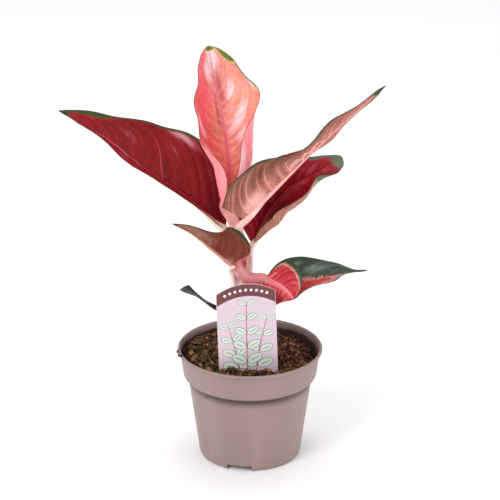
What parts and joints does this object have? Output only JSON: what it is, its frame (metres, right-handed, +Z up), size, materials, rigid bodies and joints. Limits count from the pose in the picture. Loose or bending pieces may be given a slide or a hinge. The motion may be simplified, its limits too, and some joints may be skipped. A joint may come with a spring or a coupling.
{
  "type": "potted chinese evergreen",
  "caption": "Young Chinese evergreen with pink, crimson and green leaves on a short stem, in a round plastic nursery pot of peat with an arched plant label.",
  "frame": {"origin": "centre of the pot's flat underside", "axes": "+Z up along the pot's axis, -Y towards the side that the label faces, +X to that viewer's right"},
  "size_m": [0.256, 0.12, 0.3385],
  "materials": {
    "pot_plastic": "satin",
    "peat": "matte",
    "stem": "satin",
    "leaf_coral": "satin",
    "leaf_crimson": "satin",
    "leaf_salmon": "satin",
    "leaf_bronze": "satin",
    "leaf_red": "satin",
    "leaf_green": "satin",
    "label_card": "satin"
  },
  "bodies": {
    "root": {"pot": "pot_plastic", "peat": "peat", "stem": "stem", "leaf_upright": "leaf_coral", "leaf_left": "leaf_crimson", "leaf_right_front": "leaf_salmon", "leaf_right_back": "leaf_crimson", "leaf_small_left": "leaf_bronze", "leaf_low_front": "leaf_red", "leaf_low_right": "leaf_green", "leaf_low_left": "leaf_green", "plant_label": "label_card"}
  },
  "joints": []
}
